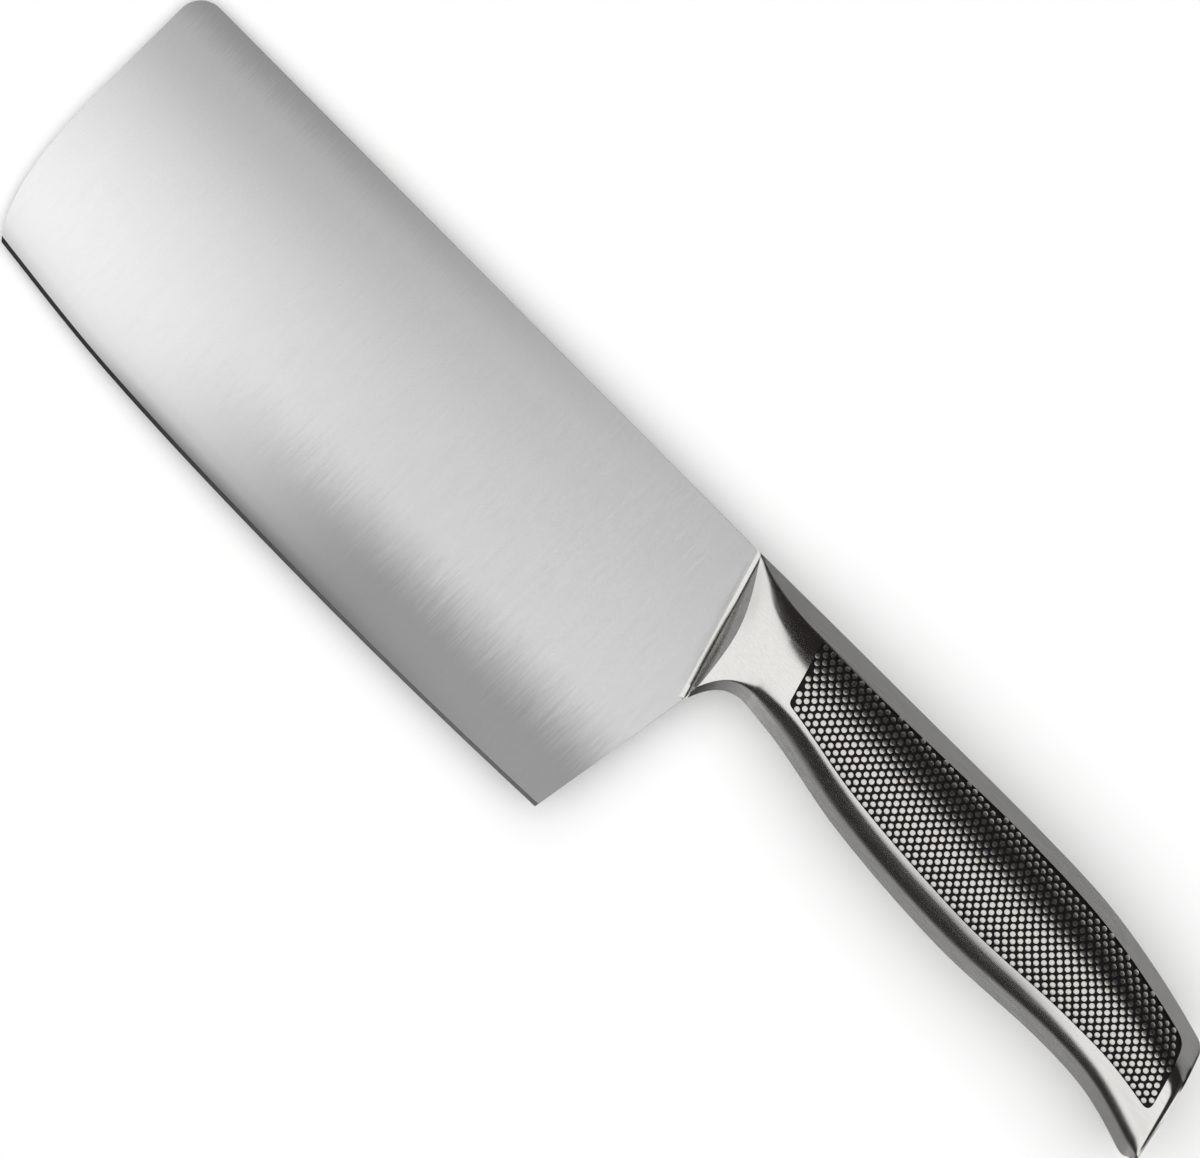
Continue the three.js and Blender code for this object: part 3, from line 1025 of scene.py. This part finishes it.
def make_pip_tree():
    tree = bpy.data.node_groups.new("grip pips", "GeometryNodeTree")
    tree.interface.new_socket("Geometry", in_out="OUTPUT", socket_type="NodeSocketGeometry")
    for name, kind, default in PIP_INPUTS:
        socket = tree.interface.new_socket(name, in_out="INPUT", socket_type=kind)
        if default is not None:
            socket.default_value = default
    given = add_node(tree, "NodeGroupInput").outputs
    points, start = pip_starts(tree, given)
    pips = add_node(
        tree,
        "GeometryNodeInstanceOnPoints",
        {
            "Points": dropped_pips(tree, given, points, start),
            "Selection": kept(tree, "landed", "BOOLEAN"),
            "Instance": object_shape(tree, given["Dome"], "ORIGINAL"),
            "Rotation": kept(tree, "upright", "QUATERNION"),
        },
    )
    real = add_node(tree, "GeometryNodeRealizeInstances", {0: pips.outputs[0]})
    inputs = {"Geometry": real.outputs[0], "Material": given["Steel"]}
    finish = add_node(tree, "GeometryNodeSetMaterial", inputs)
    add_node(tree, "NodeGroupOutput", {0: finish.outputs[0]})
    return tree


pip_tree = make_pip_tree()
print("pip tree nodes", len(pip_tree.nodes))

# %% [markdown]
# Steel that has been ground and brushed is full of fine parallel scratches. One node group makes
# them for every steel here: noise that is stretched along the stroke, put out as a value. The value
# varies the colour and the roughness a little, and is the height of a very slight bump.

# %% Brushed steel
GRAIN_DETAIL = 3
GRAIN_ROUGHNESS = 0.6
GRAIN_LOW = 0.25
GRAIN_HIGH = 0.75
GRAIN_TINT = 0.12
GRAIN_DEPTH = 0.00002


def make_grain_group():
    tree = bpy.data.node_groups.new("brushed grain", "ShaderNodeTree")
    tree.interface.new_socket("Vector", in_out="INPUT", socket_type="NodeSocketVector")
    tree.interface.new_socket("Streaks", in_out="OUTPUT", socket_type="NodeSocketFloat")
    given = add_node(tree, "NodeGroupInput").outputs
    noise = {"Vector": given["Vector"], "Scale": 1}
    noise |= {"Detail": GRAIN_DETAIL, "Roughness": GRAIN_ROUGHNESS}
    streaks = add_node(tree, "ShaderNodeTexNoise", noise)
    add_node(tree, "NodeGroupOutput", {"Streaks": streaks.outputs[0]})
    return tree


def new_finish(name, metallic):
    """A material that uses nodes, with its tree and the inputs of its shader."""
    material = bpy.data.materials.new(name)
    material.use_nodes = True
    shader = material.node_tree.nodes["Principled BSDF"].inputs
    feed(shader["Metallic"], metallic)
    return material, material.node_tree, shader


def vary(tree, shader, value, dark, light, rough, spread, low=0, high=1):
    """Lets a value that changes over the surface vary the colour and the roughness."""
    colours = {"Factor": value, "A": (*dark, 1), "B": (*light, 1)}
    tint = add_node(tree, "ShaderNodeMix", colours, name="tint", data_type="RGBA")
    feed(shader["Base Color"], tint.outputs["Result"])
    span = {"Value": value, "From Min": low, "From Max": high}
    span |= {"To Min": rough - spread, "To Max": rough + spread}
    feed(shader["Roughness"], add_node(tree, "ShaderNodeMapRange", span).outputs["Result"])


def steel(name, colour, rough, spread, stretch, bump):
    """A brushed steel. stretch is how often the noise repeats per metre along x, y and z."""
    material, tree, shader = new_finish(name, 1)
    where = add_node(tree, "ShaderNodeTexCoord", name="where").outputs["Object"]
    mapping = add_node(tree, "ShaderNodeMapping", {"Vector": where, "Scale": stretch})
    stroke = {"Vector": mapping.outputs[0]}
    grain = add_node(tree, "ShaderNodeGroup", stroke, name="grain", node_tree=grain_group)
    streaks = grain.outputs["Streaks"]
    dark = [c * (1 - GRAIN_TINT) for c in colour]
    light = [min(1, c * (1 + GRAIN_TINT)) for c in colour]
    vary(tree, shader, streaks, dark, light, rough, spread, GRAIN_LOW, GRAIN_HIGH)
    scratches = {"Strength": bump, "Distance": GRAIN_DEPTH, "Height": streaks}
    feed(shader["Normal"], add_node(tree, "ShaderNodeBump", scratches).outputs[0])
    return material


grain_group = make_grain_group()
blade_steel = steel(
    "blade steel",
    (0.97, 0.975, 0.98),
    rough=0.33,
    spread=0.06,
    stretch=(2600, 140, 140),
    bump=0.5,
)
handle_steel = steel(
    "handle steel",
    (0.69, 0.685, 0.665),
    rough=0.17,
    spread=0.02,
    stretch=(150, 2400, 2400),
    bump=0.015,
)
pip_steel = steel(
    "pip steel",
    (0.62, 0.597, 0.565),
    rough=0.28,
    spread=0.03,
    stretch=(900, 900, 900),
    bump=0.1,
)
print("steels", blade_steel.name, handle_steel.name, pip_steel.name)

# %% [markdown]
# The blade's colour carries painted light and shade, which stand in for the softbox mirrored in its
# faces: painted shade along the spine towards the front, a slight painted lift lower down, a painted
# highlight low at the front, and painted shade low towards the heel. Painted shade darkens it just
# above the cutting bevel too, and the bevel itself is painted darker. A painted picture could hold
# these tones, but soft masks over the place on the blade stay sharp at any size.

# %% Blade shading
# Strengths of the painted light and shade in the blade's colour
FLAT_TONE = 0.64
LOWER_LIFT = 0.05
FRONT_GLEAM = 0.25
SPINE_SHADE = 0.16
SPINE_RIM_SHADE = 0.15
SPINE_SHADE_AT_HEEL = 0.15
HEEL_SHADE = 0.52
EDGE_SHADE = 0.68
EDGE_SHADE_LOST = 0.5
BEVEL_TONE = 0.32
BEVEL_TONE_LOST = 0.23
GRAIN_MIDDLE = 0.5
WAVER = 7


def shade_blade(material):
    """Painted light and shade as tones by place, in millimetres: along, from the bolster forward, and
    depth, from the spine.
    """
    tree = material.node_tree
    nodes = tree.nodes

    def plus(a, b):
        return calc(tree, "ADD", a, b)

    def less(a, b):
        return calc(tree, "SUBTRACT", a, b)

    def times(a, b):
        return calc(tree, "MULTIPLY", a, b)

    def fade(value, start, end):
        """0 at start, 1 at end, with a soft change between."""
        span = {"Value": value, "From Min": start, "From Max": end}
        made = add_node(tree, "ShaderNodeMapRange", span, interpolation_type="SMOOTHSTEP")
        return made.outputs["Result"]

    def mark(name):
        return add_node(tree, "ShaderNodeAttribute", attribute_name=name).outputs["Fac"]

    spot = add_node(tree, "ShaderNodeSeparateXYZ", {0: nodes["where"].outputs["Object"]}).outputs
    along = times(less(spot["X"], DRAWING_ORIGIN.x), -1000)
    waver = times(less(nodes["grain"].outputs["Streaks"], GRAIN_MIDDLE), WAVER)
    depth = plus(times(less(spot["Y"], DRAWING_ORIGIN.y), -1000), waver)

    # Painted light: a slight lift lower down, then a painted highlight low at the front
    tone = plus(FLAT_TONE, times(LOWER_LIFT, fade(depth, 10, 40)))
    low_front = times(fade(depth, 10, 56), fade(along, 50, 165))
    tone = plus(tone, times(FRONT_GLEAM, low_front))
    # Painted shade along the spine, strongest towards the front
    forward = plus(SPINE_SHADE_AT_HEEL, times(1 - SPINE_SHADE_AT_HEEL, fade(along, 0, 160)))
    spine = times(SPINE_SHADE, fade(depth, 30, 0))
    spine = plus(spine, times(SPINE_RIM_SHADE, fade(depth, 9, 0)))
    tone = less(tone, times(spine, forward))
    # Painted shade low on the blade towards the heel
    heel = times(fade(depth, 45, 62), fade(along, 125, 50))
    tone = times(tone, less(1, times(HEEL_SHADE, heel)))

    # Painted shade just above the cutting bevel: none at the heel, full along the middle, weaker near
    # the front
    painted_edge_shade = less(1, times(EDGE_SHADE_LOST, fade(along, 108, 140)))
    painted_edge_shade = times(painted_edge_shade, times(EDGE_SHADE, fade(along, 0, 95)))
    tone = times(tone, less(1, times(painted_edge_shade, mark("nearness"))))
    # The bevel faces are painted a dark grey as painted shade, darker towards the front
    bevel = mark("bevel")
    painted_bevel_tone = less(BEVEL_TONE, times(BEVEL_TONE_LOST, fade(along, 10, 130)))
    tone = plus(times(tone, less(1, bevel)), times(painted_bevel_tone, bevel))

    colour = {0: nodes["tint"].outputs["Result"], "Scale": tone}
    shaded = add_node(tree, "ShaderNodeVectorMath", colour, operation="SCALE")
    feed(nodes["Principled BSDF"].inputs["Base Color"], shaded.outputs[0])


shade_blade(blade_steel)
print("blade nodes", len(blade_steel.node_tree.nodes))

# %% [markdown]
# The enamel and the hidden pieces are plainer: a colour that a soft noise varies a little, with
# the same noise in the roughness. The enamel hardly shines, so the pips stand out from it.

# %% Enamel, resin and iron
MOTTLE_ROUGHNESS = 0.08
ENAMEL_SHINE = 0.12


def mottled(name, dark, light, rough, scale, metallic=0):
    material, tree, shader = new_finish(name, metallic)
    where = add_node(tree, "ShaderNodeTexCoord").outputs["Object"]
    noise = add_node(tree, "ShaderNodeTexNoise", {"Vector": where, "Scale": scale})
    vary(tree, shader, noise.outputs[0], dark, light, rough, MOTTLE_ROUGHNESS)
    return material


black_enamel = mottled(
    "black enamel", (0.003, 0.003, 0.003), (0.008, 0.008, 0.009), rough=0.5, scale=900
)
filler_resin = mottled(
    "filler resin", (0.2, 0.17, 0.11), (0.3, 0.26, 0.18), rough=0.8, scale=300
)
weight_iron = mottled(
    "weight iron", (0.06, 0.06, 0.065), (0.12, 0.12, 0.13), rough=0.7, scale=500, metallic=1
)
enamel_shader = black_enamel.node_tree.nodes["Principled BSDF"].inputs
feed(enamel_shader["Specular IOR Level"], ENAMEL_SHINE)
print("plain finishes", black_enamel.name, filler_resin.name, weight_iron.name)

# %% [markdown]
# Now the tree can grow the pips of each face. The modifier's inputs are set by identifier before
# the object is first evaluated, and the result becomes a plain mesh, because an export keeps no
# instances. The helpers have done their work and go.


# %% Grow the pips
def make_pips(name, landing, side):
    """The pips of one face as a plain mesh."""
    holder = new_object(name, bpy.data.meshes.new(name))
    modifier = holder.modifiers.new("pips", "NODES")
    modifier.node_group = pip_tree
    values = {
        "Landing": landing,
        "Guide": pip_guide,
        "Dome": pip_dome,
        "Steel": pip_steel,
        "Side": side,
    }
    for item in pip_tree.interface.items_tree:
        if item.in_out == "INPUT" and item.name in values:
            modifier[item.identifier] = values[item.name]
    apply_modifiers(holder)
    print(name, len(holder.data.polygons) // len(pip_dome.data.polygons), "pips")
    return holder


pips_left = make_pips("pips_left", landing_left, 1.0)
pips_right = make_pips("pips_right", landing_right, -1.0)
for helper in (landing_left, landing_right, pip_dome, pip_guide):
    bpy.data.objects.remove(helper)

# %% [markdown]
# Every visible piece now takes its finish, rides with the one rigid body of the cleaver, and
# stands in for the solid that it dresses. The pieces sealed inside keep their solids.


# %% Dress the frame
def dress(piece, material, slot, *nodes):
    piece.data.materials.clear()
    piece.data.materials.append(material)
    piece.data.polygons.foreach_set("material_index", [0] * len(piece.data.polygons))
    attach(piece, "root")
    if nodes:
        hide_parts(*nodes)


dress(blade, blade_steel, "blade_steel", "blade")
dress(bolster, handle_steel, "handle_steel", "bolster")
dress(shell_left, handle_steel, "handle_steel", "handle_shell_left")
dress(shell_right, handle_steel, "handle_steel", "handle_shell_right")
dress(enamel_left, black_enamel, "grip_enamel", "grip_inlay_left")
dress(enamel_right, black_enamel, "grip_enamel", "grip_inlay_right")
dress(pips_left, pip_steel, "handle_steel")
dress(pips_right, pip_steel, "handle_steel")
for node, material in (("core_filler", filler_resin), ("balance_weight", weight_iron)):
    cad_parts[node].data.materials.clear()
    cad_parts[node].data.materials.append(material)

# %% [markdown]
# The cleaver lies on a pale cove: a wide floor whose rim curves up into a low wall, so that any
# view has a plain background. The floor tips a little, because the cleaver rests on the side of
# its handle and on the front of its blade.

# %% Cove
COVE_SIDES = 96
COVE_CLEARANCE = 0.0004
COVE_PROFILE = (
    (0.05, 0),
    (0.6, 0),
    (1.8, 0),
    (2.1, 0.015),
    (2.35, 0.05),
    (2.5, 0.12),
    (2.58, 0.22),
    (2.62, 0.36),
)
panel_low, panel_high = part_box("grip_inlay_right")
rest_x = (panel_low.x + panel_high.x) / 2
tilt = math.atan((blade_low.z - panel_low.z) / (rest_x - blade_low.x))


def make_cove():
    floor = [tuple(range(COVE_SIDES))]
    walls = [(a, d, c, b) for a, b, c, d in skin(len(COVE_PROFILE), COVE_SIDES)]
    made = mesh_object("cove", turned_points(COVE_PROFILE, COVE_SIDES), floor + walls)
    made.data.shade_smooth()
    made.rotation_euler = (0, tilt, 0)
    made.location = (0, 0, rest_x * math.tan(tilt) - COVE_CLEARANCE)
    return made


cove = make_cove()
cove_paint = mottled("cove paint", (0.84, 0.84, 0.84), (0.87, 0.87, 0.87), rough=0.9, scale=3)
cove.data.materials.append(cove_paint)
print("floor tips", round(math.degrees(tilt), 2), "degrees")

# %% [markdown]
# The photograph looks straight down on the left face, with the cleaver turned across the frame.
# A long lens keeps the outline square, as in a catalogue picture.

# %% Camera
PHOTO_WIDTH = 1200
MM_PER_PIXEL = 0.2094
VIEW_X = -20.3
VIEW_Y = -27.7
TURN = 45.2
LENS = 150
SENSOR_WIDTH = 36

camera = new_object("camera", bpy.data.cameras.new("camera"))
camera.data.lens = LENS
camera.data.sensor_width = SENSOR_WIDTH
distance = LENS / SENSOR_WIDTH * PHOTO_WIDTH * MM_PER_PIXEL
camera.location = place(VIEW_X, VIEW_Y, distance)
camera.rotation_euler = (0, 0, math.radians(TURN))
scene.camera = camera
print("camera height", round(camera.location.z, 3), "m")

# %% [markdown]
# Steel shows what is around it, so the light is built as a room. One broad softbox hangs above the
# edge side of the blade, with dark beyond it, and a dimmer card behind the spine gives the top of
# the handle something to mirror. The lamp for the cove isn't mirrored in steel at all.

# %% Light
SOFTBOX_CENTRE = (-0.2, -0.7, 1.6)
SOFTBOX_AIM = (-0.2, -0.7, 0)
CARD_CENTRE = (-1.6, 1.6, 1.15)
FILL_CENTRE = (0, 0, 2.6)
MIDDLE = (0, 0, 0)
BAND_TOP = 0.29
BAND_COLOUR = (0.27, 0.27, 0.27, 1)
DARK_START = 0.36
DARK_COLOUR = (0.02, 0.017, 0.015, 1)


def area_light(name, centre, target, size_x, size_y, radiance):
    """A lamp that the camera doesn't see, as bright per area whatever its size."""
    made = new_object(name, bpy.data.lights.new(name, "AREA"))
    made.data.shape = "RECTANGLE"
    made.data.size = size_x
    made.data.size_y = size_y
    made.data.energy = radiance * math.pi * size_x * size_y
    made.location = centre
    aim = Vector(target) - Vector(centre)
    made.rotation_euler = aim.to_track_quat("-Z", "Y").to_euler()
    made.visible_camera = False
    return made


def make_room():
    """A dark room with a grey band above the rim of the cove."""
    world = bpy.data.worlds.new("room")
    world.use_nodes = True
    tree = world.node_tree
    where = add_node(tree, "ShaderNodeTexCoord").outputs["Generated"]
    height = add_node(tree, "ShaderNodeSeparateXYZ", {0: where}).outputs["Z"]
    band = add_node(tree, "ShaderNodeValToRGB", {0: height})
    stops = ((BAND_TOP, BAND_COLOUR), (DARK_START, DARK_COLOUR))
    for stop, (position, colour) in zip(band.color_ramp.elements, stops):
        stop.position = position
        stop.color = colour
    feed(tree.nodes["Background"].inputs["Color"], band.outputs[0])
    return world


softbox = area_light(
    "softbox", SOFTBOX_CENTRE, SOFTBOX_AIM, size_x=3.6, size_y=2.1, radiance=1.12
)
rear_card = area_light("rear card", CARD_CENTRE, MIDDLE, size_x=2, size_y=1, radiance=0.4)
for reflector in (softbox, rear_card):
    reflector.visible_diffuse = False
cove_fill = area_light("cove fill", FILL_CENTRE, MIDDLE, size_x=7, size_y=7, radiance=1.62)
cove_fill.visible_glossy = False
scene.world = make_room()
